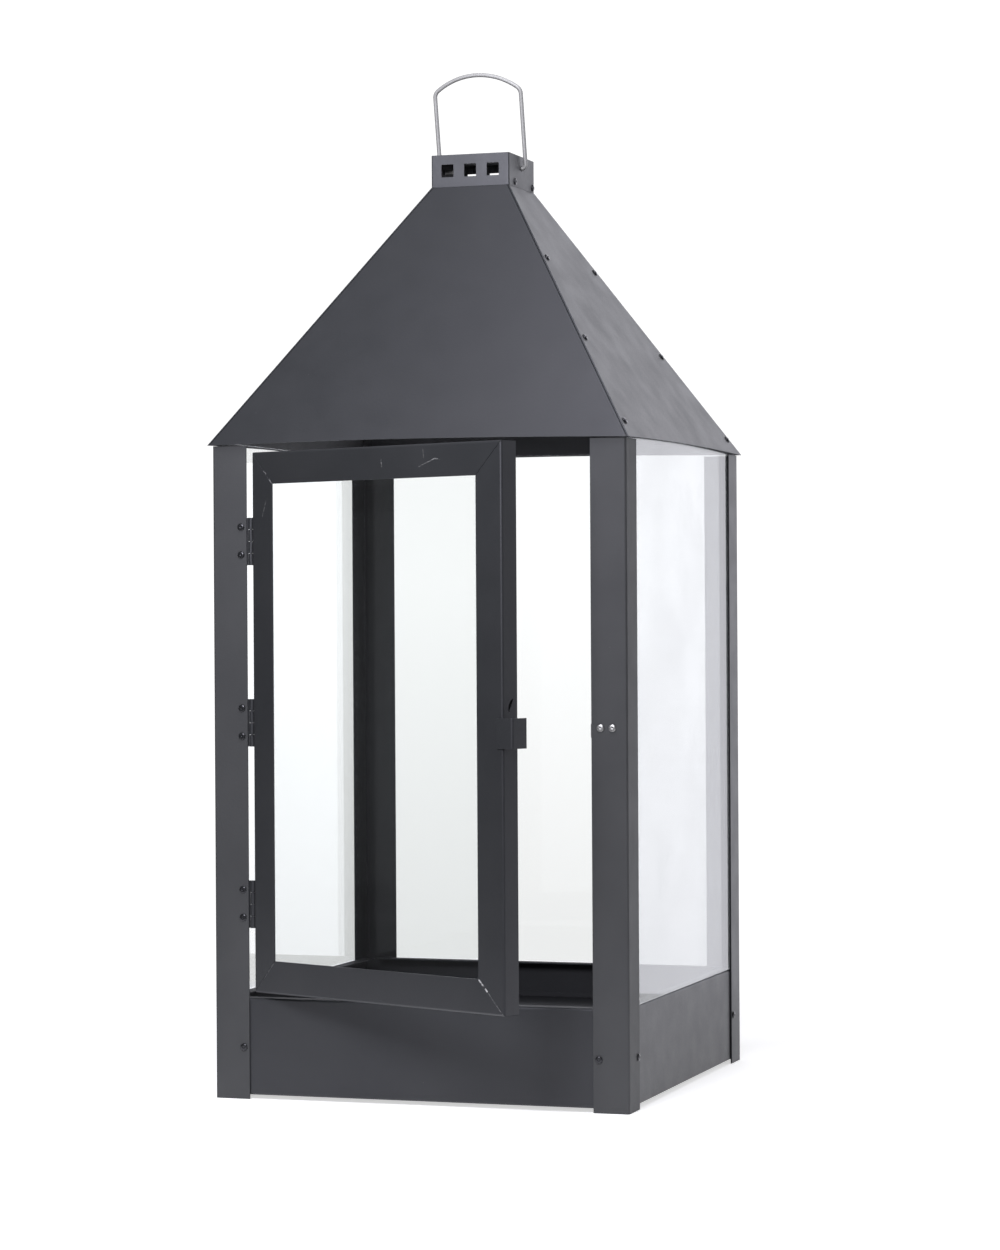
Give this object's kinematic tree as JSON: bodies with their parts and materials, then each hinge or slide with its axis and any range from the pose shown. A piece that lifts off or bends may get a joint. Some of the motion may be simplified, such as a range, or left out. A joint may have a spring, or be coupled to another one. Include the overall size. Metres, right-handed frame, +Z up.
{
  "type": "garden lantern",
  "caption": "Square glazed metal lantern with a hinged glass door, pyramid roof, vented chimney cap and wire carrying bail.",
  "frame": {"origin": "on the ground, at the middle of the footprint of the body and its door standing ajar", "axes": "+Z up, -Y out of the door side, +X to the right of someone facing the door"},
  "size_m": [0.3566, 0.4668, 0.8471],
  "materials": {
    "black_coat": "fine satin powder coat, anthracite black",
    "dark_coat": "satin powder coat, inside faces",
    "galvanised_wire": "galvanised drawn wire",
    "zinc_steel": "zinc-plated steel",
    "clear_glass": "clear float glass"
  },
  "bodies": {
    "lantern_body": {"post_front_left": "black_coat", "post_front_right": "black_coat", "post_back_left": "black_coat", "post_back_right": "black_coat", "skirt_front": "black_coat", "skirt_right": "black_coat", "skirt_back": "black_coat", "skirt_left": "black_coat", "floor_tray": "dark_coat", "pane_left": "clear_glass", "pane_right": "clear_glass", "pane_back": "clear_glass", "roof_front": "black_coat", "roof_right": "black_coat", "roof_back": "black_coat", "roof_left": "black_coat", "chimney_cap": "black_coat", "catch_spring": "zinc_steel", "hinge_bottom_post_leaf": "black_coat", "hinge_middle_post_leaf": "black_coat", "hinge_top_post_leaf": "black_coat", "hinge_bottom_pin": "zinc_steel", "hinge_middle_pin": "zinc_steel", "hinge_top_pin": "zinc_steel", "base_rivet_01": "black_coat", "base_rivet_02": "black_coat", "base_rivet_03": "black_coat", "base_rivet_04": "black_coat", "base_rivet_05": "black_coat", "base_rivet_06": "black_coat", "base_rivet_07": "black_coat", "base_rivet_08": "black_coat", "roof_rivet_01": "black_coat", "roof_rivet_02": "black_coat", "roof_rivet_03": "black_coat", "roof_rivet_04": "black_coat", "roof_rivet_05": "black_coat", "roof_rivet_06": "black_coat", "roof_rivet_07": "black_coat", "roof_rivet_08": "black_coat", "roof_rivet_09": "black_coat", "roof_rivet_10": "black_coat", "roof_rivet_11": "black_coat", "roof_rivet_12": "black_coat", "catch_rivet_01": "zinc_steel", "catch_rivet_02": "zinc_steel"},
    "door": {"door_stile_hinge": "black_coat", "door_stile_latch": "black_coat", "door_rail_bottom": "black_coat", "door_rail_top": "black_coat", "door_glass": "clear_glass", "glass_strip_hinge_side": "dark_coat", "glass_strip_latch_side": "dark_coat", "latch_plate": "black_coat", "hinge_bottom_door_leaf": "black_coat", "hinge_middle_door_leaf": "black_coat", "hinge_top_door_leaf": "black_coat"},
    "bail": {"bail_handle": "galvanised_wire"}
  },
  "joints": [
    {"name": "door_hinge", "type": "hinge", "parent": "lantern_body", "child": "door", "pos_m": [-0.142, -0.11844, 0.3052], "axis": [0, 0, 1], "range_deg": [-96.6, 23.4]},
    {"name": "bail_swing", "type": "hinge", "parent": "lantern_body", "child": "bail", "pos_m": [0, 0.05506, 0.767], "axis": [1, 0, 0], "range_deg": [-125.5, 102.5]}
  ]
}
